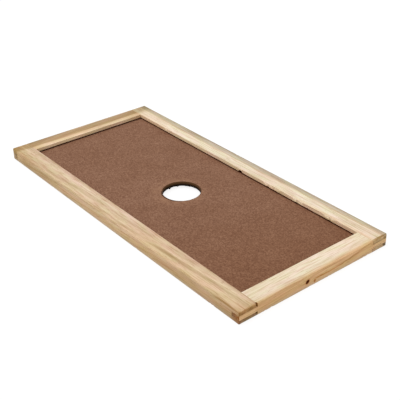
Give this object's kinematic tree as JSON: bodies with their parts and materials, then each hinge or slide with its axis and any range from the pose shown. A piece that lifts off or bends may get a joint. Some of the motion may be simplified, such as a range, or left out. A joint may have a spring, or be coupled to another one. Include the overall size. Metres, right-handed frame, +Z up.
{
  "type": "hive inner cover",
  "caption": "Flat beehive inner cover: a grooved softwood frame with through-tongue corner joints round a hardboard panel that has a round escape hole in the middle.",
  "frame": {"origin": "middle of the underside, the face that rests on the hive", "axes": "+X along the cover, +Y across it, +Z up"},
  "size_m": [0.505, 0.238, 0.016],
  "materials": {
    "softwood": "planed and lightly sanded, unfinished",
    "hardboard": "pressed fibre, matte",
    "staple_wire": "galvanised"
  },
  "bodies": {
    "root": {"front_rail": "softwood", "back_rail": "softwood", "left_end_rail": "softwood", "right_end_rail": "softwood", "hardboard_panel": "hardboard", "corner_staples": "staple_wire"}
  },
  "joints": []
}
